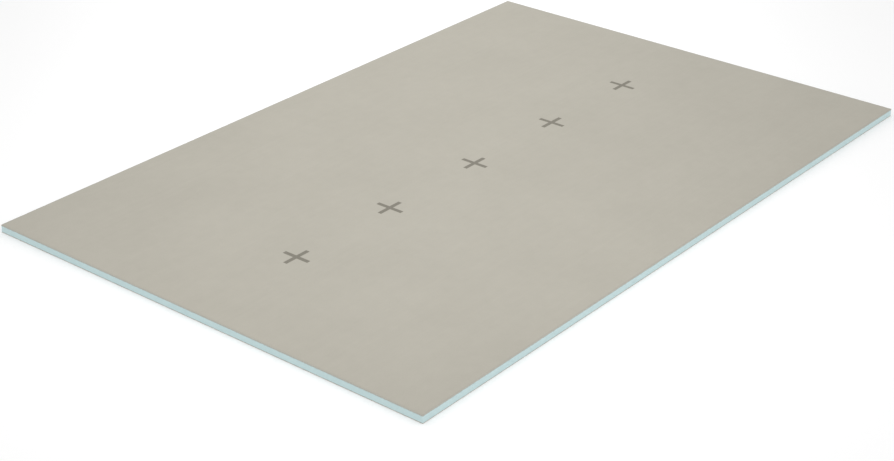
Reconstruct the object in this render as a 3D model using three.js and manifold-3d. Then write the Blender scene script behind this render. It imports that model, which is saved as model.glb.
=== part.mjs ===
// A foam tile backer board: a stiff blue foam core with a skin of mesh-reinforced cement on each
// side. Tiles are bonded to the skin that faces up here, and screws and washers go straight
// through the board into the studs behind it, so it is sold without holes.
// Millimetres, +Z up. The origin is the middle of the underside, +X runs along the board.
import * as THREE from "three";
import { mergeVertices } from "three/addons/utils/BufferGeometryUtils.js";
import Module from "manifold-3d";

// Driving dimensions.
const BOARD_LENGTH = 1219.2; // 48 in, along X
const BOARD_WIDTH = 812.8; // 32 in, along Y
const CORE_THICKNESS = 10.5; // the foam alone; the whole board is 12.7, which is 1/2 in
const COATING_THICKNESS = 1.1; // one cement skin
const CORNER_RADIUS = 1.0; // the upright corners, just blunted by handling
const ARRIS_RADIUS = 0.45; // the outer edge of each skin, where the mortar has worn round

// Steps along the rounded stretches.
const CORNER_STEPS = 6;
const ARRIS_STEPS = 4;

// Heights of the layers, from the surface that the board lies on.
const CORE_UNDERSIDE = COATING_THICKNESS;
const CORE_TOP = CORE_UNDERSIDE + CORE_THICKNESS;

const FOAM = { color: 0xbcd6da, roughness: 0.85, metalness: 0 };
const CEMENT = { color: 0xbbb7a9, roughness: 0.9, metalness: 0 };

// Points nearer together than this are one point.
const WELD_DISTANCE = 1e-4;

const wasm = await Module();
wasm.setup();

// The board's outline seen from above, shared by all three layers, which are sawn in one cut.
function boardOutline() {
  const x = BOARD_LENGTH / 2;
  const y = BOARD_WIDTH / 2;
  const r = CORNER_RADIUS;
  return new THREE.Shape()
    .moveTo(-x + r, -y)
    .lineTo(x - r, -y)
    .absarc(x - r, -y + r, r, -Math.PI / 2, 0)
    .lineTo(x, y - r)
    .absarc(x - r, y - r, r, 0, Math.PI / 2)
    .lineTo(-x + r, y)
    .absarc(-x + r, y - r, r, Math.PI / 2, Math.PI)
    .lineTo(-x, -y + r)
    .absarc(-x + r, -y + r, r, Math.PI, 1.5 * Math.PI);
}

// A closed geometry as a solid that can be cut.
function solidOf(geometry) {
  const bare = new THREE.BufferGeometry().setAttribute("position", geometry.getAttribute("position"));
  if (geometry.index) bare.setIndex(geometry.index);
  const merged = mergeVertices(bare, WELD_DISTANCE);
  return new wasm.Manifold(
    new wasm.Mesh({
      numProp: 3,
      vertProperties: merged.getAttribute("position").array,
      triVerts: new Uint32Array(merged.index.array),
    }),
  );
}

function geometryOf(solid) {
  const mesh = solid.getMesh();
  return new THREE.BufferGeometry()
    .setAttribute("position", new THREE.BufferAttribute(mesh.vertProperties, 3))
    .setIndex(new THREE.BufferAttribute(mesh.triVerts, 1));
}

// The foam between the skins, with its underside at Z 0.
function foamCoreGeometry() {
  return new THREE.ExtrudeGeometry(boardOutline(), {
    depth: CORE_THICKNESS,
    bevelEnabled: false,
    curveSegments: CORNER_STEPS,
  });
}

// One cement skin, with its bonded side at Z 0 and its outer side at Z COATING_THICKNESS. It is
// the upper half of a slab twice as thick, so only its outer edge is rounded and the side that
// meets the foam stays sharp.
function coatingGeometry() {
  const arris = Math.min(ARRIS_RADIUS, COATING_THICKNESS);
  const slab = new THREE.ExtrudeGeometry(boardOutline(), {
    depth: 2 * (COATING_THICKNESS - arris),
    bevelEnabled: true,
    bevelThickness: arris,
    bevelSize: arris,
    bevelOffset: -arris,
    bevelSegments: ARRIS_STEPS,
    curveSegments: CORNER_STEPS,
  }).translate(0, 0, arris - COATING_THICKNESS);
  const upperHalf = new THREE.BoxGeometry(
    2 * BOARD_LENGTH,
    2 * BOARD_WIDTH,
    2 * COATING_THICKNESS,
  ).translate(0, 0, COATING_THICKNESS);
  return geometryOf(solidOf(slab).intersect(solidOf(upperHalf)));
}

function layer(name, geometry, finish) {
  const mesh = new THREE.Mesh(geometry, new THREE.MeshStandardMaterial(finish));
  mesh.name = name;
  return mesh;
}

const foamCore = layer("foam_core", foamCoreGeometry(), FOAM);
foamCore.position.z = CORE_UNDERSIDE;

const faceCoating = layer("face_coating", coatingGeometry(), CEMENT);
faceCoating.position.z = CORE_TOP;

// The same skin turned over about X, so that its bonded side meets the foam from below.
const backCoating = layer("back_coating", coatingGeometry(), CEMENT);
backCoating.rotation.x = Math.PI;
backCoating.position.z = CORE_UNDERSIDE;

const board = new THREE.Group();
board.add(foamCore, faceCoating, backCoating);

export default board;
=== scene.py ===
"""The looks of a foam tile backer board: a sawn blue foam core between two cement coatings.

Laid out as an add-on, so that each step is an operator with its settings in the sidebar. Run as a
script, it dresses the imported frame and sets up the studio.
"""

import math

import bmesh
import bpy
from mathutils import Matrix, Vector


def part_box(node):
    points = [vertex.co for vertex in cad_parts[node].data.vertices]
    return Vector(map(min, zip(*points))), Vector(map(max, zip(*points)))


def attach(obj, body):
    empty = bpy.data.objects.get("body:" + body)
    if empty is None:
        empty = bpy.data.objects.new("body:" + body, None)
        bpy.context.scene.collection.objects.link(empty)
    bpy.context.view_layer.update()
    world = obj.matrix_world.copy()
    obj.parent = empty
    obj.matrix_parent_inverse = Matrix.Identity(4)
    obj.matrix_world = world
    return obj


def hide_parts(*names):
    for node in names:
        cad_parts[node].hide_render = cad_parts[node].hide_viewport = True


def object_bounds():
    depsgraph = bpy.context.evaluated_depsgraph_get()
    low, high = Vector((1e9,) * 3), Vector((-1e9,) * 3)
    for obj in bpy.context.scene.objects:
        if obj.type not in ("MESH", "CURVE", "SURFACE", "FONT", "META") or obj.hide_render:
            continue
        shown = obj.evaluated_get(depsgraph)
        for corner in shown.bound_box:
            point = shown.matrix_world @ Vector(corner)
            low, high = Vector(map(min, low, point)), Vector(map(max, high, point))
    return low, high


bl_info = {
    "name": "Foam tile backer board",
    "version": (1, 0, 0),
    "blender": (4, 5, 0),
    "location": "3D View > Sidebar > Backer board",
    "description": "Models and finishes a foam tile backer board around its packed frame",
    "category": "Object",
}

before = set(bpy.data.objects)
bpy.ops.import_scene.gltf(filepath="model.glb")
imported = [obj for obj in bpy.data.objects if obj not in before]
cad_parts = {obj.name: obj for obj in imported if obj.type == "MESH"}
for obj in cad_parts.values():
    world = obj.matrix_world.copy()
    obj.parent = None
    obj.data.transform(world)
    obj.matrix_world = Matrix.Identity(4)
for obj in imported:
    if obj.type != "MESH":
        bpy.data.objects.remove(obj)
CAD_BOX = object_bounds()
CORE_LOW, CORE_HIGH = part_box("foam_core")
FACE_LOW, FACE_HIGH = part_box("face_coating")
BACK_LOW, BACK_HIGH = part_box("back_coating")
BOARD_LENGTH = CAD_BOX[1].x - CAD_BOX[0].x
BOARD_WIDTH = CAD_BOX[1].y - CAD_BOX[0].y
BOARD_TOP = CAD_BOX[1].z
COATING_THICKNESS = FACE_HIGH.z - FACE_LOW.z

MM = 0.001
TOLERANCE = 0.01 * MM
CORNER_SEGMENTS = 6
ARRIS_SEGMENTS = 3
SMOOTH_ANGLE = math.radians(40.0)
FLOOR_RADIUS = 12.0
SENSOR_WIDTH = 36.0
FARTHEST_SEEN = 50.0


class BoardEdges(bpy.types.PropertyGroup):
    """How the board was sawn, and how far its edges have worn."""

    corner_radius: bpy.props.FloatProperty(
        name="Corner radius",
        description="Radius of the upright corners",
        default=1.0 * MM,
        unit="LENGTH",
    )
    arris_radius: bpy.props.FloatProperty(
        name="Arris radius",
        description="Rounding of each coating's outer edge",
        default=0.45 * MM,
        unit="LENGTH",
    )
    coating_recess: bpy.props.FloatProperty(
        name="Coating recess",
        description="How far the coatings' cut edge lies inside the nominal size",
        default=0.05 * MM,
        unit="LENGTH",
    )
    foam_recess: bpy.props.FloatProperty(
        name="Foam recess",
        description="How far the foam's cut edge lies inside the nominal size",
        default=0.15 * MM,
        unit="LENGTH",
    )
    step: bpy.props.FloatProperty(
        name="Edge step",
        description="Longest stretch of cut edge that one face may take",
        default=1.3 * MM,
        unit="LENGTH",
    )
    rim_wear: bpy.props.FloatProperty(
        name="Rim wear",
        description="Depth of the mortar's uneven wear along the arris",
        default=0.14 * MM,
        unit="LENGTH",
    )
    chip_depth: bpy.props.FloatProperty(
        name="Chip depth",
        description="Depth of the few chips in the arris",
        default=0.45 * MM,
        unit="LENGTH",
    )
    saw_wander: bpy.props.FloatProperty(
        name="Saw wander",
        description="How far the saw tore the foam in and out of line",
        default=0.25 * MM,
        unit="LENGTH",
    )


class GlassMesh(bpy.types.PropertyGroup):
    """The glass-fibre mesh cast into each coating."""

    pitch: bpy.props.FloatProperty(
        name="Mesh pitch",
        description="Distance between neighbouring yarns",
        default=5.0 * MM,
        unit="LENGTH",
    )
    yarn_width: bpy.props.FloatProperty(
        name="Yarn width",
        description="Width of a flat glass yarn",
        default=0.8 * MM,
        unit="LENGTH",
    )
    yarn_thickness: bpy.props.FloatProperty(
        name="Yarn thickness",
        description="Thickness of a flat glass yarn",
        default=0.24 * MM,
        unit="LENGTH",
    )
    drift: bpy.props.FloatProperty(
        name="Yarn drift",
        description="How far the cut yarns stray along the edge from their even spacing",
        default=2.4 * MM,
        unit="LENGTH",
    )
    face_relief: bpy.props.FloatProperty(
        name="Face relief",
        description="Height of the ridges over the yarns on the tile face",
        default=0.035 * MM,
        unit="LENGTH",
    )
    back_relief: bpy.props.FloatProperty(
        name="Back relief",
        description="Height of the ridges over the yarns on the underside",
        default=0.06 * MM,
        unit="LENGTH",
    )
    patch_size: bpy.props.FloatProperty(
        name="Mesh patches",
        description="Width of the patches in which the mesh shows more or less clearly",
        default=70.0 * MM,
        unit="LENGTH",
    )
    colour: bpy.props.FloatVectorProperty(
        name="Glass colour",
        description="Colour of the cut yarns",
        default=(0.60, 0.60, 0.55),
        subtype="COLOR",
        min=0.0,
        max=1.0,
    )


class CementFinish(bpy.types.PropertyGroup):
    """The matt mortar of both coatings."""

    light_colour: bpy.props.FloatVectorProperty(
        name="Light cement",
        description="Colour where the mortar dried palest",
        default=(0.455, 0.433, 0.374),
        subtype="COLOR",
        min=0.0,
        max=1.0,
    )
    dark_colour: bpy.props.FloatVectorProperty(
        name="Dark cement",
        description="Colour where the mortar dried darkest",
        default=(0.411, 0.391, 0.336),
        subtype="COLOR",
        min=0.0,
        max=1.0,
    )
    # Painted shade inside the air pinholes; the darker specks on the sawn cut take this colour too.
    pit_shade_colour: bpy.props.FloatVectorProperty(
        name="Pinhole",
        description="Colour inside the air pinholes",
        default=(0.226, 0.212, 0.179),
        subtype="COLOR",
        min=0.0,
        max=1.0,
    )
    # A darker margin along the board's edges, fading inwards from the outline.
    edge_margin_colour: bpy.props.FloatVectorProperty(
        name="Rim",
        description="Colour of the handled, slightly soiled margin along the edges",
        default=(0.398, 0.382, 0.334),
        subtype="COLOR",
        min=0.0,
        max=1.0,
    )
    roughness: bpy.props.FloatProperty(
        name="Cement roughness",
        description="Roughness of the mortar",
        default=0.88,
        min=0.0,
        max=1.0,
        subtype="FACTOR",
    )
    grain: bpy.props.FloatProperty(
        name="Sand grain",
        description="Size of the sand in the mortar",
        default=0.5 * MM,
        unit="LENGTH",
    )
    streak_width: bpy.props.FloatProperty(
        name="Blade streak width",
        description="Width of the streaks that the coating blade left",
        default=5.0 * MM,
        unit="LENGTH",
    )
    streak_length: bpy.props.FloatProperty(
        name="Blade streak length",
        description="Length of the streaks that the coating blade left",
        default=500.0 * MM,
        unit="LENGTH",
    )
    pinhole_spacing: bpy.props.FloatProperty(
        name="Pinhole spacing",
        description="Mean distance between the places where a pinhole may be",
        default=9.0 * MM,
        unit="LENGTH",
    )
    pinhole_radius: bpy.props.FloatProperty(
        name="Pinhole radius",
        description="Radius of the largest pinholes",
        default=0.35 * MM,
        unit="LENGTH",
    )
    # How far in from the outline the darker margin reaches.
    margin: bpy.props.FloatProperty(
        name="Handled margin",
        description="How far the soiling from handling reaches in from the edges",
        default=3.6 * MM,
        unit="LENGTH",
    )


class FoamFinish(bpy.types.PropertyGroup):
    """The sawn edge of the blue foam."""

    light_colour: bpy.props.FloatVectorProperty(
        name="Light foam",
        description="Colour of the torn cell walls",
        default=(0.556, 0.684, 0.687),
        subtype="COLOR",
        min=0.0,
        max=1.0,
    )
    dark_colour: bpy.props.FloatVectorProperty(
        name="Dark foam",
        description="Colour inside the open cells and along the saw lines",
        default=(0.467, 0.606, 0.621),
        subtype="COLOR",
        min=0.0,
        max=1.0,
    )
    roughness: bpy.props.FloatProperty(
        name="Foam roughness",
        description="Roughness of the sawn foam",
        default=0.82,
        min=0.0,
        max=1.0,
        subtype="FACTOR",
    )
    cell: bpy.props.FloatProperty(
        name="Cell size",
        description="Width of one foam cell",
        default=0.32 * MM,
        unit="LENGTH",
    )
    streak_width: bpy.props.FloatProperty(
        name="Saw streak width",
        description="Width of the streaks that the saw left",
        default=1.1 * MM,
        unit="LENGTH",
    )
    streak_length: bpy.props.FloatProperty(
        name="Saw streak length",
        description="Length of the streaks that the saw left",
        default=90.0 * MM,
        unit="LENGTH",
    )
    # A darker band at the top of the foam's cut edge, just below the face coating, and how far down
    # it reaches.
    top_band_colour: bpy.props.FloatVectorProperty(
        name="Mortar dust",
        description="Colour of the foam where the saw dragged mortar dust down into its cells",
        default=(0.377, 0.392, 0.363),
        subtype="COLOR",
        min=0.0,
        max=1.0,
    )
    top_band_reach: bpy.props.FloatProperty(
        name="Dust reach",
        description="How far below the face coating the dust was dragged",
        default=1.9 * MM,
        unit="LENGTH",
    )


class LayoutMarks(bpy.types.PropertyGroup):
    """The plain grey fixing marks printed along the middle of the tile face."""

    colour: bpy.props.FloatVectorProperty(
        name="Ink",
        description="Colour of the printed marks",
        default=(0.158, 0.147, 0.118),
        subtype="COLOR",
        min=0.0,
        max=1.0,
    )
    spacing: bpy.props.FloatProperty(
        name="Mark spacing",
        description="Distance between neighbouring crosses",
        default=BOARD_LENGTH / 6,
        unit="LENGTH",
    )
    row: bpy.props.FloatProperty(
        name="Row length",
        description="Stretch of the middle line that holds crosses, so that none is cut at an end",
        default=BOARD_LENGTH * 5 / 6,
        unit="LENGTH",
    )
    arm: bpy.props.FloatProperty(
        name="Cross arm",
        description="Length of a cross's arm from its middle",
        default=24.0 * MM,
        unit="LENGTH",
    )
    stroke: bpy.props.FloatProperty(
        name="Stroke",
        description="Width of the printed line",
        default=7.0 * MM,
        unit="LENGTH",
    )


class Studio(bpy.types.PropertyGroup):
    """Floor, light and camera."""

    floor_colour: bpy.props.FloatVectorProperty(
        name="Floor",
        description="Colour of the pale floor",
        default=(0.985, 0.985, 0.985),
        subtype="COLOR",
        min=0.0,
        max=1.0,
    )
    sky: bpy.props.FloatProperty(
        name="Room light",
        description="Brightness of the soft light that comes from all round",
        default=0.785,
        min=0.0,
    )
    softbox_power: bpy.props.FloatProperty(
        name="Softbox power",
        description="Power of the long softbox over the board",
        default=2.82,
        min=0.0,
        unit="POWER",
    )
    softbox_width: bpy.props.FloatProperty(
        name="Softbox width",
        description="Side of the softbox that runs across the picture",
        default=1.06,
        unit="LENGTH",
    )
    softbox_length: bpy.props.FloatProperty(
        name="Softbox length",
        description="Side of the softbox that runs away from the camera",
        default=2.4,
        unit="LENGTH",
    )
    softbox_place: bpy.props.FloatVectorProperty(
        name="Softbox place",
        description="Middle of the softbox",
        default=(0.30, 0.36, 0.45),
        subtype="TRANSLATION",
    )
    fill_power: bpy.props.FloatProperty(
        name="Fill power",
        description="Power of the large fill light in front of the board's near corner",
        default=307.0,
        min=0.0,
        unit="POWER",
    )
    fill_size: bpy.props.FloatProperty(
        name="Fill size",
        description="Side of the square fill light",
        default=7.0,
        unit="LENGTH",
    )
    fill_azimuth: bpy.props.FloatProperty(
        name="Fill azimuth",
        description="Turn of the fill light round the board, 0 in front of the long edge",
        default=math.radians(-34.8),
        subtype="ANGLE",
    )
    fill_elevation: bpy.props.FloatProperty(
        name="Fill elevation",
        description="Height of the fill light above the horizon",
        default=math.radians(37.4),
        subtype="ANGLE",
    )
    fill_distance: bpy.props.FloatProperty(
        name="Fill distance",
        description="Distance from the board's middle to the fill light",
        default=11.0,
        unit="LENGTH",
    )
    camera_azimuth: bpy.props.FloatProperty(
        name="Camera azimuth",
        description="Turn of the camera round the board, 0 in front of the long edge",
        default=math.radians(-50.58),
        subtype="ANGLE",
    )
    camera_elevation: bpy.props.FloatProperty(
        name="Camera elevation",
        description="Height of the camera above the horizon",
        default=math.radians(27.28),
        subtype="ANGLE",
    )
    camera_distance: bpy.props.FloatProperty(
        name="Camera distance",
        description="Distance from the camera to the point that it looks at",
        default=2.776,
        unit="LENGTH",
    )
    camera_target: bpy.props.FloatVectorProperty(
        name="Camera target",
        description="Point on the board that the camera looks at",
        default=(-0.2064, -0.1137, BOARD_TOP),
        subtype="TRANSLATION",
    )
    lens: bpy.props.FloatProperty(
        name="Lens",
        description="Focal length in millimetres, for a frame 36 mm wide",
        default=76.28,
        min=1.0,
    )


def deselect_all():
    """Leaves nothing selected, so that an operator acts only on what is added next."""
    bpy.ops.object.select_all(action="DESELECT")
    bpy.context.view_layer.objects.active = None


def select_where(kind, wanted):
    """In edit mode, selects the edges or faces that pass the test, and returns how many there are."""
    bpy.ops.mesh.select_mode(type=kind)
    bpy.ops.mesh.select_all(action="DESELECT")
    data = bpy.context.object.data
    mesh = bmesh.from_edit_mesh(data)
    elements = mesh.edges if kind == "EDGE" else mesh.faces
    found = [element for element in elements if wanted(element)]
    for element in found:
        element.select_set(True)
    bmesh.update_edit_mesh(data)
    return len(found)


def height_of(element):
    """Mean height of an edge or a face."""
    return sum(vertex.co.z for vertex in element.verts) / len(element.verts)


def is_upright(edge):
    """Whether an edge runs from one layer's underside to its top."""
    return abs(edge.verts[0].co.z - edge.verts[1].co.z) > 0.9 * edge.calc_length()


def add_sawn_sheet(name, recess, thickness, edges):
    """A flat slab on Z 0 with rounded upright corners and finely divided cut edges, in edit mode."""
    deselect_all()
    bpy.ops.mesh.primitive_plane_add(size=1.0)
    sheet = bpy.context.object
    sheet.name = sheet.data.name = name
    sheet.scale = (BOARD_LENGTH - 2 * recess, BOARD_WIDTH - 2 * recess, 1.0)
    bpy.ops.object.transform_apply(location=True, rotation=True, scale=True)
    bpy.ops.object.mode_set(mode="EDIT")
    bpy.ops.mesh.select_all(action="SELECT")
    bpy.ops.mesh.bevel(offset=edges.corner_radius, segments=CORNER_SEGMENTS, affect="VERTICES")
    while select_where("EDGE", lambda edge: edge.calc_length() > edges.step):
        bpy.ops.mesh.subdivide(number_cuts=1)
    bpy.ops.mesh.select_all(action="SELECT")
    bpy.ops.mesh.extrude_region_move(TRANSFORM_OT_translate={"value": (0.0, 0.0, thickness)})
    bpy.ops.mesh.select_all(action="SELECT")
    bpy.ops.mesh.normals_make_consistent(inside=False)
    return sheet


def outline_depth(x, y, recess, corner_radius):
    """How far a point lies inside the sawn outline."""
    straight_x = BOARD_LENGTH / 2 - recess - corner_radius
    straight_y = BOARD_WIDTH / 2 - recess - corner_radius
    over_x = abs(x) - straight_x
    over_y = abs(y) - straight_y
    outside = math.hypot(max(over_x, 0.0), max(over_y, 0.0))
    return corner_radius - outside - min(max(over_x, over_y), 0.0)


def clamp(value):
    """The value, held between 0 and 1."""
    return min(max(value, 0.0), 1.0)


def weigh(piece, name, weight_at):
    """Makes a vertex group whose weight at each vertex is worked out from its place."""
    group = piece.vertex_groups.new(name=name)
    for vertex in piece.data.vertices:
        group.add([vertex.index], clamp(weight_at(vertex.co)), "REPLACE")
    return name


def lumpy_texture(name, size, rare_below=None):
    """Soft lumps of that size, for displacing a surface, or only the few deepest hollows of them."""
    lumps = bpy.data.textures.new(name, "CLOUDS")
    lumps.noise_scale = size
    lumps.noise_depth = 2
    if rare_below is not None:
        slope = 0.08
        lumps.use_color_ramp = True
        deepest, shallowest = lumps.color_ramp.elements
        deepest.position = rare_below - slope
        deepest.color = (0.0, 0.0, 0.0, 1.0)
        shallowest.position = rare_below
        shallowest.color = (1.0, 1.0, 1.0, 1.0)
    return lumps


def displace(piece, group, texture, depth, still_level):
    """Moves the weighed vertices along their normals, and applies the result."""
    modifier = piece.modifiers.new(texture.name, "DISPLACE")
    modifier.texture = texture
    modifier.texture_coords = "LOCAL"
    modifier.vertex_group = group
    modifier.mid_level = still_level
    modifier.strength = depth
    bpy.ops.object.modifier_apply(modifier=modifier.name)


def finish_piece(piece, material, node):
    """Dresses a piece, and lets it stand for its CAD node."""
    bpy.ops.object.shade_smooth_by_angle(angle=SMOOTH_ANGLE)
    bpy.ops.object.mode_set(mode="EDIT")
    select_where("FACE", lambda face: len(face.verts) > 4)
    bpy.ops.mesh.faces_shade_flat()
    bpy.ops.object.mode_set(mode="OBJECT")
    piece.vertex_groups.clear()
    piece.data.materials.append(material)
    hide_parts(node)
    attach(piece, "root")


def add_foam_core(edges):
    """The foam sheet, with edges that the saw has torn slightly in and out of line."""
    core = add_sawn_sheet("foam_core_sawn", edges.foam_recess, CORE_HIGH.z - CORE_LOW.z, edges)
    select_where("EDGE", is_upright)
    bpy.ops.mesh.subdivide(number_cuts=7)
    bpy.ops.mesh.select_all(action="SELECT")
    bpy.ops.transform.translate(value=(0.0, 0.0, CORE_LOW.z))
    bpy.ops.object.mode_set(mode="OBJECT")
    middle = (CORE_LOW.z + CORE_HIGH.z) / 2
    half = (CORE_HIGH.z - CORE_LOW.z) / 2
    cut = weigh(core, "cut", lambda place: 2.0 * (1.0 - abs(place.z - middle) / half))
    displace(core, cut, lumpy_texture("torn cells", 2.2 * MM), edges.saw_wander, 0.5)
    displace(core, cut, lumpy_texture("saw wander", 30.0 * MM), edges.saw_wander, 0.5)
    return core


def add_coating(name, is_face, edges):
    """One cement skin, with a rounded, worn and slightly chipped outer edge."""
    coating = add_sawn_sheet(name, edges.coating_recess, COATING_THICKNESS, edges)
    outer = COATING_THICKNESS - TOLERANCE
    select_where("EDGE", lambda edge: height_of(edge) > outer)
    bpy.ops.mesh.bevel(offset=edges.arris_radius, segments=ARRIS_SEGMENTS, affect="EDGES")
    select_where("EDGE", is_upright)
    bpy.ops.mesh.subdivide(number_cuts=1)
    margin = 0.4 * (edges.corner_radius - edges.arris_radius)
    select_where("FACE", lambda face: height_of(face) > outer)
    bpy.ops.mesh.inset(thickness=margin)
    bpy.ops.mesh.inset(thickness=margin)
    bpy.ops.mesh.select_all(action="SELECT")
    bonded_side = FACE_LOW.z
    if not is_face:
        bonded_side = BACK_HIGH.z
        bpy.ops.transform.rotate(value=math.pi, orient_axis="X", center_override=(0.0, 0.0, 0.0))
    bpy.ops.transform.translate(value=(0.0, 0.0, bonded_side))
    bpy.ops.object.mode_set(mode="OBJECT")

    worn_reach = edges.arris_radius + 2 * margin
    fade_inwards = 1.5 * margin
    fade_downwards = 0.4 * MM

    def rim_weight(place):
        depth = outline_depth(place.x, place.y, edges.coating_recess, edges.corner_radius)
        height = abs(place.z - bonded_side)
        return clamp((worn_reach - depth) / fade_inwards) * clamp(height / fade_downwards)

    rim = weigh(coating, "rim", rim_weight)
    displace(coating, rim, lumpy_texture("rim wear", 6.0 * MM), edges.rim_wear, 1.0)
    displace(coating, rim, lumpy_texture("rim crumbs", 1.8 * MM), 0.6 * edges.rim_wear, 1.0)
    chips = lumpy_texture("rim chips", 9.0 * MM, rare_below=0.30)
    displace(coating, rim, chips, edges.chip_depth, 1.0)
    return coating


def let_wander(piece, way, texture, distance):
    """Shifts a piece's parts unevenly along one axis, and applies the result."""
    wander = piece.modifiers.new(texture.name, "DISPLACE")
    wander.texture = texture
    wander.texture_coords = "LOCAL"
    wander.direction = way
    wander.strength = distance
    bpy.ops.object.modifier_apply(modifier=wander.name)


def add_yarn_ends(name, bonded_side, outward, edges, glass):
    """The cut ends of the glass yarns, which stand just proud of a coating's cut edge all round."""
    inside = 0.8 * MM
    proud = edges.coating_recess
    mesh_level = 0.45 * COATING_THICKNESS
    height = bonded_side + outward * mesh_level
    drift = lumpy_texture("yarn drift", 9.0 * MM)
    runs = []
    for side_length, reach, turn in (
        (BOARD_LENGTH, BOARD_WIDTH / 2, 0.0),
        (BOARD_LENGTH, BOARD_WIDTH / 2, math.pi),
        (BOARD_WIDTH, BOARD_LENGTH / 2, math.pi / 2),
        (BOARD_WIDTH, BOARD_LENGTH / 2, -math.pi / 2),
    ):
        count = 2 * math.floor((side_length / 2 - 2 * edges.corner_radius) / glass.pitch) + 1
        deselect_all()
        bpy.ops.mesh.primitive_cylinder_add(
            vertices=6,
            radius=glass.yarn_width / 2,
            depth=inside + proud,
            end_fill_type="NGON",
            rotation=(math.pi / 2, 0.0, 0.0),
            location=(-(count - 1) / 2 * glass.pitch, (inside + proud) / 2 - reach, 0.0),
        )
        run = bpy.context.object
        run.scale = (1.0, glass.yarn_thickness / glass.yarn_width, 1.0)
        bpy.ops.object.transform_apply(location=True, rotation=True, scale=True)
        row = run.modifiers.new("row", "ARRAY")
        row.count = count
        row.use_relative_offset = False
        row.use_constant_offset = True
        row.constant_offset_displace = (glass.pitch, 0.0, 0.0)
        bpy.ops.object.modifier_apply(modifier=row.name)
        let_wander(run, "X", drift, glass.drift)
        run.rotation_euler = (0.0, 0.0, turn)
        run.location = (0.0, 0.0, height)
        bpy.ops.object.transform_apply(location=True, rotation=True, scale=True)
        runs.append(run)
    deselect_all()
    for run in runs:
        run.select_set(True)
    bpy.context.view_layer.objects.active = runs[0]
    bpy.ops.object.join()
    yarns = bpy.context.object
    yarns.name = yarns.data.name = name
    let_wander(yarns, "Z", lumpy_texture("yarn sag", 14.0 * MM), glass.yarn_thickness)
    return yarns


def place_node(tree, kind, inputs=None, **settings):
    """Adds a node. inputs gives each socket, by name or number, a value or another node's output."""
    node = tree.nodes.new(kind)
    for setting, value in settings.items():
        setattr(node, setting, value)
    for socket, value in (inputs or {}).items():
        if isinstance(value, bpy.types.NodeSocket):
            tree.links.new(value, node.inputs[socket])
        else:
            node.inputs[socket].default_value = value
    return node


def calculate(tree, operation, *values):
    """A Math node's result."""
    inputs = dict(enumerate(values))
    return place_node(tree, "ShaderNodeMath", inputs, operation=operation).outputs[0]


def weighted_sum(tree, *parts):
    """The sum of the parts' values, each times its own weight."""
    total = calculate(tree, "MULTIPLY", *parts[0])
    for value, weight in parts[1:]:
        total = calculate(tree, "MULTIPLY_ADD", value, weight, total)
    return total


def remap(tree, value, low, high, to_low=0.0, to_high=1.0, smooth=False):
    """The value, with low to high stretched to to_low to to_high, and held at both ends."""
    inputs = {"Value": value, 1: low, 2: high, 3: to_low, 4: to_high}
    kind = "SMOOTHSTEP" if smooth else "LINEAR"
    node = place_node(tree, "ShaderNodeMapRange", inputs, interpolation_type=kind)
    return node.outputs["Result"]


def blend_colours(tree, mask, first, second):
    """First where the mask is 0, second where it is 1."""
    node = place_node(tree, "ShaderNodeMix", data_type="RGBA")
    for socket, value in ((0, mask), (6, first), (7, second)):
        if isinstance(value, bpy.types.NodeSocket):
            tree.links.new(value, node.inputs[socket])
        elif socket:
            node.inputs[socket].default_value = (*value, 1.0)
        else:
            node.inputs[socket].default_value = value
    return node.outputs[2]


def noise(tree, vector, size, detail=2.0):
    """Noise with lumps of that size."""
    inputs = {"Vector": vector, "Scale": 1.0 / size, "Detail": detail}
    return place_node(tree, "ShaderNodeTexNoise", inputs).outputs[0]


def start_group(name, inputs, outputs):
    """A node group with named sockets, and its input and output nodes. inputs gives the defaults."""
    group = bpy.data.node_groups.new(name, "ShaderNodeTree")
    group.interface.new_socket(name="Vector", in_out="INPUT", socket_type="NodeSocketVector")
    for socket, default in inputs.items():
        item = group.interface.new_socket(
            name=socket, in_out="INPUT", socket_type="NodeSocketFloat"
        )
        item.default_value = default
    for socket in outputs:
        group.interface.new_socket(name=socket, in_out="OUTPUT", socket_type="NodeSocketFloat")
    given = group.nodes.new("NodeGroupInput").outputs
    result = group.nodes.new("NodeGroupOutput").inputs
    return group, given, result


def use_group(tree, group, vector, **values):
    """Places a shared group in a material, with its own values."""
    node = place_node(tree, "ShaderNodeGroup", node_tree=group)
    tree.links.new(vector, node.inputs["Vector"])
    for socket, value in values.items():
        node.inputs[socket.replace("_", " ")].default_value = value
    return node.outputs


def grain_group():
    """Fine granular tone and relief, as of sand in mortar or cut cells in foam."""
    group, given, result = start_group("fine grain", {"Grain size": 0.5 * MM}, ("Tone", "Height"))
    scale = calculate(group, "DIVIDE", 1.0, given["Grain size"])
    fine = place_node(group, "ShaderNodeTexVoronoi", {"Vector": given["Vector"], "Scale": scale})
    tone = place_node(group, "ShaderNodeRGBToBW", {0: fine.outputs["Color"]}).outputs[0]
    coarse_scale = calculate(group, "MULTIPLY", scale, 0.3)
    coarse = place_node(
        group,
        "ShaderNodeTexNoise",
        {"Vector": given["Vector"], "Scale": coarse_scale, "Detail": 2.0},
    ).outputs[0]
    half_tone = calculate(group, "MULTIPLY", tone, 0.5)
    group.links.new(calculate(group, "MULTIPLY_ADD", coarse, 0.5, half_tone), result["Tone"])
    dome = remap(group, fine.outputs["Distance"], 0.0, 0.8, 1.0, 0.0)
    group.links.new(calculate(group, "MULTIPLY", dome, tone), result["Height"])
    return group


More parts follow.
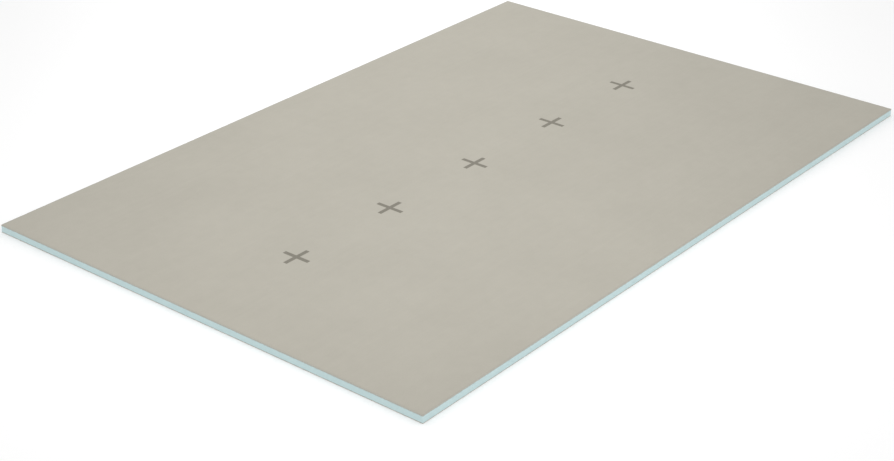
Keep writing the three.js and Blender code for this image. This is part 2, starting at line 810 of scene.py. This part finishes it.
def streak_group():
    """Long faint streaks along the board, as the coating blade or the saw leaves."""
    group, given, result = start_group(
        "long streaks", {"Streak width": 4.0 * MM, "Streak length": 0.6}, ("Tone",)
    )
    along = calculate(group, "DIVIDE", 1.0, given["Streak length"])
    across = calculate(group, "DIVIDE", 1.0, given["Streak width"])
    stretch = place_node(group, "ShaderNodeCombineXYZ", {0: along, 1: across, 2: across})
    stretched = place_node(
        group,
        "ShaderNodeVectorMath",
        {0: given["Vector"], 1: stretch.outputs[0]},
        operation="MULTIPLY",
    ).outputs[0]
    streaks = place_node(
        group, "ShaderNodeTexNoise", {"Vector": stretched, "Scale": 1.0, "Detail": 3.0}
    )
    group.links.new(streaks.outputs[0], result["Tone"])
    return group


def rim_group():
    """A mask that is 1 on the board's sawn outline and fades to 0 at the stated reach inside it."""
    group, given, result = start_group(
        "rim", {"Length": 1.0, "Width": 1.0, "Corner": 0.0, "Reach": 1.0 * MM}, ("Mask",)
    )
    place = place_node(group, "ShaderNodeSeparateXYZ", {0: given["Vector"]}).outputs
    over = []
    for axis, side in ((0, "Length"), (1, "Width")):
        half = calculate(group, "MULTIPLY", given[side], 0.5)
        straight = calculate(group, "SUBTRACT", half, given["Corner"])
        distance = calculate(group, "ABSOLUTE", place[axis])
        over.append(calculate(group, "SUBTRACT", distance, straight))
    beyond = [calculate(group, "MAXIMUM", value, 0.0) for value in over]
    squares = calculate(group, "MULTIPLY", beyond[1], beyond[1])
    squares = calculate(group, "MULTIPLY_ADD", beyond[0], beyond[0], squares)
    outside = calculate(group, "SQRT", squares)
    inside = calculate(group, "MINIMUM", calculate(group, "MAXIMUM", *over), 0.0)
    signed = calculate(group, "ADD", outside, inside)
    depth = calculate(group, "SUBTRACT", given["Corner"], signed)
    share = calculate(group, "DIVIDE", depth, given["Reach"])
    group.links.new(remap(group, share, 0.0, 1.0, 1.0, 0.0, smooth=True), result["Mask"])
    return group


def mesh_group():
    """The glass mesh where it shows faintly through the mortar: low ridges over the yarns."""
    group, given, result = start_group(
        "mesh relief", {"Pitch": 5.0 * MM, "Patch size": 70.0 * MM}, ("Height",)
    )
    sharpness = 5.0
    crossing_softness = 0.3
    place = place_node(group, "ShaderNodeSeparateXYZ", {0: given["Vector"]}).outputs
    ridges = []
    for axis in (0, 1):
        turns = calculate(group, "DIVIDE", place[axis], given["Pitch"])
        wave = calculate(group, "COSINE", calculate(group, "MULTIPLY", turns, math.pi))
        ridges.append(calculate(group, "POWER", calculate(group, "ABSOLUTE", wave), sharpness))
    net = calculate(group, "SMOOTH_MAX", ridges[0], ridges[1], crossing_softness)
    scale = calculate(group, "DIVIDE", 1.0, given["Patch size"])
    patches = place_node(
        group, "ShaderNodeTexNoise", {"Vector": given["Vector"], "Scale": scale, "Detail": 2.0}
    ).outputs[0]
    cover = remap(group, patches, 0.35, 0.7, 0.25, 1.0)
    group.links.new(calculate(group, "MULTIPLY", net, cover), result["Height"])
    return group


def pinhole_group():
    """A mask of the small round holes that air bubbles leave in mortar."""
    group, given, result = start_group(
        "pinholes", {"Spacing": 9.0 * MM, "Radius": 0.35 * MM}, ("Mask",)
    )
    scale = calculate(group, "DIVIDE", 1.0, given["Spacing"])
    flat = place_node(
        group,
        "ShaderNodeVectorMath",
        {0: given["Vector"], 1: (1.0, 1.0, 0.0)},
        operation="MULTIPLY",
    ).outputs[0]
    spots = place_node(group, "ShaderNodeTexVoronoi", {"Vector": flat, "Scale": scale})
    chance = place_node(group, "ShaderNodeSeparateColor", {0: spots.outputs["Color"]}).outputs
    share_without = 0.55
    smallest = 0.4
    present = calculate(group, "GREATER_THAN", chance[0], share_without)
    size = remap(group, chance[1], 0.0, 1.0, smallest, 1.0)
    radius = calculate(group, "MULTIPLY", given["Radius"], scale)
    radius = calculate(group, "MULTIPLY", radius, size)
    share = calculate(group, "DIVIDE", spots.outputs["Distance"], radius)
    hole = remap(group, share, 0.6, 1.0, 1.0, 0.0, smooth=True)
    group.links.new(calculate(group, "MULTIPLY", hole, present), result["Mask"])
    return group


def marks_group():
    """A mask of the fixing marks: a row of crosses on the board's middle line."""
    group, given, result = start_group(
        "fixing marks",
        {"Spacing": 0.2, "Row": 1.0, "Arm": 24.0 * MM, "Stroke": 7.0 * MM},
        ("Mask",),
    )
    place = place_node(group, "ShaderNodeSeparateXYZ", {0: given["Vector"]}).outputs
    half = calculate(group, "MULTIPLY", given["Spacing"], 0.5)
    less = calculate(group, "MULTIPLY", half, -1.0)
    along = calculate(group, "ABSOLUTE", calculate(group, "WRAP", place[0], half, less))
    across = calculate(group, "ABSOLUTE", place[1])
    half_stroke = calculate(group, "MULTIPLY", given["Stroke"], 0.5)
    bars = []
    for first, second in ((along, across), (across, along)):
        within_arm = calculate(group, "SUBTRACT", given["Arm"], first)
        within_stroke = calculate(group, "SUBTRACT", half_stroke, second)
        bars.append(calculate(group, "MINIMUM", within_arm, within_stroke))
    margin = calculate(group, "MAXIMUM", *bars)
    bleed = 0.2 * MM
    printed = remap(group, margin, -bleed, bleed)
    half_row = calculate(group, "MULTIPLY", given["Row"], 0.5)
    in_row = calculate(group, "LESS_THAN", calculate(group, "ABSOLUTE", place[0]), half_row)
    group.links.new(calculate(group, "MULTIPLY", printed, in_row), result["Mask"])
    return group


def start_material(name):
    """A material with its Principled shader, and the surface's own coordinates in metres."""
    material = bpy.data.materials.new(name)
    material.use_nodes = True
    tree = material.node_tree
    tree.nodes.clear()
    shader = place_node(tree, "ShaderNodeBsdfPrincipled")
    place_node(tree, "ShaderNodeOutputMaterial", {"Surface": shader.outputs[0]})
    place = place_node(tree, "ShaderNodeTexCoord").outputs["Object"]
    return material, tree, shader, place


def vary(tree, tone, middle, spread):
    """A value that follows the tone, from as much under the middle as over it."""
    return remap(tree, tone, 0.2, 0.8, middle - spread, middle + spread)


def join_surface(tree, shader, colour, roughness, height):
    """Joins a finish's colour, roughness and relief, in metres, to its shader."""
    bump = place_node(tree, "ShaderNodeBump", {"Height": height, "Distance": 1.0})
    tree.links.new(colour, shader.inputs["Base Color"])
    tree.links.new(roughness, shader.inputs["Roughness"])
    tree.links.new(bump.outputs[0], shader.inputs["Normal"])


def cement_material(name, groups, finish, glass, edges, outer_level, mesh_relief, marks=None):
    """Matt mortar: dried patches, blade streaks, sand, pinholes with painted shade in them, and a
    darker margin along the edges.
    """
    material, tree, shader, place = start_material(name)
    patches = noise(tree, place, 160.0 * MM, detail=3.0)
    clouds = noise(tree, place, 18.0 * MM, detail=3.0)
    streaks = use_group(
        tree,
        groups["long streaks"],
        place,
        Streak_width=finish.streak_width,
        Streak_length=finish.streak_length,
    )
    grain = use_group(tree, groups["fine grain"], place, Grain_size=finish.grain)
    net = use_group(
        tree, groups["mesh relief"], place, Pitch=glass.pitch, Patch_size=glass.patch_size
    )
    pinholes = use_group(
        tree,
        groups["pinholes"],
        place,
        Spacing=finish.pinhole_spacing,
        Radius=finish.pinhole_radius,
    )
    rim = use_group(
        tree,
        groups["rim"],
        place,
        Length=BOARD_LENGTH,
        Width=BOARD_WIDTH,
        Corner=edges.corner_radius,
        Reach=finish.margin,
    )
    tone = weighted_sum(
        tree, (patches, 0.34), (clouds, 0.22), (streaks["Tone"], 0.16), (grain["Tone"], 0.28)
    )
    tone = remap(tree, tone, 0.32, 0.68)
    colour = blend_colours(tree, tone, finish.light_colour, finish.dark_colour)
    if marks:
        printed = use_group(
            tree,
            groups["fixing marks"],
            place,
            Spacing=marks.spacing,
            Row=marks.row,
            Arm=marks.arm,
            Stroke=marks.stroke,
        )
        soaked = remap(tree, grain["Tone"], 0.2, 0.7, 0.95, 0.7)
        ink = calculate(tree, "MULTIPLY", printed["Mask"], soaked)
        colour = blend_colours(tree, ink, colour, marks.colour)
    # Painted shade inside the pinholes, over the mortar's colour.
    colour = blend_colours(tree, pinholes["Mask"], colour, finish.pit_shade_colour)
    level = place_node(tree, "ShaderNodeSeparateXYZ", {0: place}).outputs["Z"]
    down_the_cut = calculate(tree, "ABSOLUTE", calculate(tree, "SUBTRACT", level, outer_level))
    sawn = remap(tree, down_the_cut, 0.2 * MM, 0.6 * MM)
    # Darker specks on the sawn cut, mixed part way toward the painted pit shade colour.
    sand = remap(tree, grain["Tone"], 0.45, 0.7, 0.0, 0.22)
    colour = blend_colours(tree, calculate(tree, "MULTIPLY", sand, sawn), colour, finish.pit_shade_colour)
    # Darkens a margin along the outline, on the face and arris but not down the sawn cut.
    unsawn = calculate(tree, "SUBTRACT", 1.0, sawn)
    rim_mask = calculate(tree, "MULTIPLY", rim["Mask"], unsawn)
    rim_mask = calculate(tree, "MULTIPLY", rim_mask, remap(tree, clouds, 0.3, 0.7, 0.75, 1.0))
    colour = blend_colours(tree, rim_mask, colour, finish.edge_margin_colour)
    grit = remap(tree, sawn, 0.0, 1.0, 0.07 * MM, 0.2 * MM)
    height = weighted_sum(
        tree,
        (net["Height"], mesh_relief),
        (grain["Height"], grit),
        (streaks["Tone"], 0.03 * MM),
        (clouds, 0.12 * MM),
        (pinholes["Mask"], -0.25 * MM),
    )
    roughness = vary(tree, grain["Tone"], finish.roughness, 0.06)
    join_surface(tree, shader, colour, roughness, height)
    shader.inputs["Specular IOR Level"].default_value = 0.3
    return material


def foam_material(groups, finish):
    """Sawn extruded foam: small open cells, saw streaks and a darker band just below the face
    coating.
    """
    material, tree, shader, place = start_material("blue foam")
    cells = use_group(tree, groups["fine grain"], place, Grain_size=finish.cell)
    streaks = use_group(
        tree,
        groups["long streaks"],
        place,
        Streak_width=finish.streak_width,
        Streak_length=finish.streak_length,
    )
    clouds = noise(tree, place, 20.0 * MM)
    tone = weighted_sum(tree, (cells["Tone"], 0.45), (streaks["Tone"], 0.3), (clouds, 0.25))
    tone = remap(tree, tone, 0.3, 0.7)
    colour = blend_colours(tree, tone, finish.light_colour, finish.dark_colour)
    # Darker towards the top of the foam, within a ragged reach below the face coating.
    level = place_node(tree, "ShaderNodeSeparateXYZ", {0: place}).outputs["Z"]
    below_coating = calculate(tree, "SUBTRACT", CORE_HIGH.z, level)
    ragged = noise(tree, place, 3.0 * MM, detail=3.0)
    reach = remap(tree, ragged, 0.3, 0.7, 0.5 * finish.top_band_reach, 1.5 * finish.top_band_reach)
    share = calculate(tree, "DIVIDE", below_coating, reach)
    in_top_band = remap(tree, share, 0.0, 1.0, 0.9, 0.0, smooth=True)
    colour = blend_colours(tree, in_top_band, colour, finish.top_band_colour)
    height = weighted_sum(tree, (cells["Height"], 0.09 * MM), (streaks["Tone"], 0.1 * MM))
    roughness = vary(tree, cells["Tone"], finish.roughness, 0.08)
    join_surface(tree, shader, colour, roughness, height)
    shader.inputs["Specular IOR Level"].default_value = 0.35
    return material


def glass_material(groups, glass):
    """Cut glass yarns, dusted with mortar."""
    material, tree, shader, place = start_material("glass yarn")
    dust_size = 0.2 * MM
    dulled = 0.7
    dust = use_group(tree, groups["fine grain"], place, Grain_size=dust_size)
    dusted = tuple(dulled * channel for channel in glass.colour)
    colour = blend_colours(tree, dust["Tone"], glass.colour, dusted)
    tree.links.new(colour, shader.inputs["Base Color"])
    shader.inputs["Roughness"].default_value = 0.5
    return material


def direction(azimuth, elevation):
    """From the board towards something at that turn and height. Azimuth 0 is at the long edge."""
    return Vector(
        (
            math.sin(azimuth) * math.cos(elevation),
            -math.cos(azimuth) * math.cos(elevation),
            math.sin(elevation),
        )
    )


def facing(way):
    """The rotation of a light or camera that looks that way."""
    return way.to_track_quat("-Z", "Y").to_euler()


def lay_floor(studio):
    """The pale floor under the board."""
    faint = 0.99
    deselect_all()
    bpy.ops.mesh.primitive_circle_add(vertices=96, radius=FLOOR_RADIUS, fill_type="NGON")
    floor = bpy.context.object
    floor.name = "floor"
    material, tree, shader, place = start_material("pale floor")
    shade = tuple(faint * channel for channel in studio.floor_colour)
    tone = noise(tree, place, 500.0 * MM)
    colour = blend_colours(tree, tone, studio.floor_colour, shade)
    tree.links.new(colour, shader.inputs["Base Color"])
    shader.inputs["Roughness"].default_value = 0.9
    shader.inputs["Specular IOR Level"].default_value = 0.1
    floor.data.materials.append(material)


def light_room(scene, studio):
    """Even white light from all round."""
    world = bpy.data.worlds.new("studio room")
    world.use_nodes = True
    scene.world = world
    background = world.node_tree.nodes["Background"]
    background.inputs["Color"].default_value = (1.0, 1.0, 1.0, 1.0)
    background.inputs["Strength"].default_value = studio.sky


def add_soft_light(name, place, turn, power, sides):
    """A rectangular light that the camera doesn't see."""
    deselect_all()
    bpy.ops.object.light_add(type="AREA", location=place, rotation=turn)
    light = bpy.context.object
    light.name = name
    light.data.shape = "RECTANGLE"
    light.data.energy = power
    light.data.size, light.data.size_y = sides
    light.visible_camera = False


def set_camera(scene, studio):
    """The camera, and colours shown as they are."""
    towards_camera = direction(studio.camera_azimuth, studio.camera_elevation)
    deselect_all()
    bpy.ops.object.camera_add(
        location=Vector(studio.camera_target) + towards_camera * studio.camera_distance,
        rotation=facing(-towards_camera),
    )
    camera = bpy.context.object
    camera.data.sensor_width = SENSOR_WIDTH
    camera.data.lens = studio.lens
    camera.data.clip_end = FARTHEST_SEEN
    scene.camera = camera
    scene.view_settings.view_transform = "Standard"


def shared_groups():
    """Every shared node group by its short name, made once."""
    makers = {
        "fine grain": grain_group,
        "long streaks": streak_group,
        "rim": rim_group,
        "mesh relief": mesh_group,
        "pinholes": pinhole_group,
        "fixing marks": marks_group,
    }
    kept = bpy.data.node_groups
    return {name: kept.get(name) or make() for name, make in makers.items()}


class BACKER_OT_foam_core(bpy.types.Operator):
    """Model the sawn foam core"""

    bl_idname = "backer_board.foam_core"
    bl_label = "Foam core"

    def execute(self, context):
        scene = context.scene
        core = add_foam_core(scene.board_edges)
        material = foam_material(shared_groups(), scene.foam_finish)
        finish_piece(core, material, "foam_core")
        return {"FINISHED"}


class BACKER_OT_coatings(bpy.types.Operator):
    """Model the two cement coatings"""

    bl_idname = "backer_board.coatings"
    bl_label = "Cement coatings"

    def execute(self, context):
        scene = context.scene
        glass = scene.glass_mesh
        crosses = scene.layout_marks
        groups = shared_groups()
        for name, node, is_face, outer_level, relief, marks in (
            ("face_coating_skin", "face_coating", True, FACE_HIGH.z, glass.face_relief, crosses),
            ("back_coating_skin", "back_coating", False, BACK_LOW.z, glass.back_relief, None),
        ):
            coating = add_coating(name, is_face, scene.board_edges)
            material = cement_material(
                name.replace("_", " "),
                groups,
                scene.cement_finish,
                glass,
                scene.board_edges,
                outer_level,
                relief,
                marks,
            )
            finish_piece(coating, material, node)
        return {"FINISHED"}


class BACKER_OT_yarn_ends(bpy.types.Operator):
    """Model the cut ends of the glass mesh"""

    bl_idname = "backer_board.yarn_ends"
    bl_label = "Glass yarn ends"

    def execute(self, context):
        scene = context.scene
        material = glass_material(shared_groups(), scene.glass_mesh)
        for name, bonded_side, outward in (
            ("face_yarn_ends", FACE_LOW.z, 1.0),
            ("back_yarn_ends", BACK_HIGH.z, -1.0),
        ):
            yarns = add_yarn_ends(
                name, bonded_side, outward, scene.board_edges, scene.glass_mesh
            )
            yarns.data.materials.append(material)
            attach(yarns, "root")
        return {"FINISHED"}


class BACKER_OT_studio(bpy.types.Operator):
    """Lay the pale floor, hang the softbox and set the camera"""

    bl_idname = "backer_board.studio"
    bl_label = "Studio"

    def execute(self, context):
        scene = context.scene
        studio = scene.studio
        lay_floor(studio)
        light_room(scene, studio)
        add_soft_light(
            "softbox",
            studio.softbox_place,
            (0.0, 0.0, studio.camera_azimuth),
            studio.softbox_power,
            (studio.softbox_width, studio.softbox_length),
        )
        towards_fill = direction(studio.fill_azimuth, studio.fill_elevation)
        add_soft_light(
            "fill",
            towards_fill * studio.fill_distance,
            facing(-towards_fill),
            studio.fill_power,
            (studio.fill_size, studio.fill_size),
        )
        set_camera(scene, studio)
        return {"FINISHED"}


OPERATORS = (BACKER_OT_foam_core, BACKER_OT_coatings, BACKER_OT_yarn_ends, BACKER_OT_studio)
SETTINGS = {
    "board_edges": BoardEdges,
    "glass_mesh": GlassMesh,
    "cement_finish": CementFinish,
    "foam_finish": FoamFinish,
    "layout_marks": LayoutMarks,
    "studio": Studio,
}


class BACKER_PT_sidebar(bpy.types.Panel):
    """The board's steps and settings"""

    bl_label = "Backer board"
    bl_idname = "BACKER_PT_sidebar"
    bl_space_type = "VIEW_3D"
    bl_region_type = "UI"
    bl_category = "Backer board"

    def draw(self, context):
        for operator in OPERATORS:
            self.layout.operator(operator.bl_idname)
        for name, group in SETTINGS.items():
            box = self.layout.box()
            box.label(text=name.replace("_", " ").capitalize())
            for setting in group.__annotations__:
                box.prop(getattr(context.scene, name), setting)


def register():
    for group in SETTINGS.values():
        bpy.utils.register_class(group)
    for operator in OPERATORS:
        bpy.utils.register_class(operator)
    bpy.utils.register_class(BACKER_PT_sidebar)
    for name, group in SETTINGS.items():
        setattr(bpy.types.Scene, name, bpy.props.PointerProperty(type=group))


def unregister():
    for name in SETTINGS:
        delattr(bpy.types.Scene, name)
    bpy.utils.unregister_class(BACKER_PT_sidebar)
    for operator in reversed(OPERATORS):
        bpy.utils.unregister_class(operator)
    for group in reversed(SETTINGS.values()):
        bpy.utils.unregister_class(group)


def main():
    """Runs every step in order."""
    register()
    bpy.ops.backer_board.foam_core()
    bpy.ops.backer_board.coatings()
    bpy.ops.backer_board.yarn_ends()
    bpy.ops.backer_board.studio()


if __name__ == "__main__":
    main()
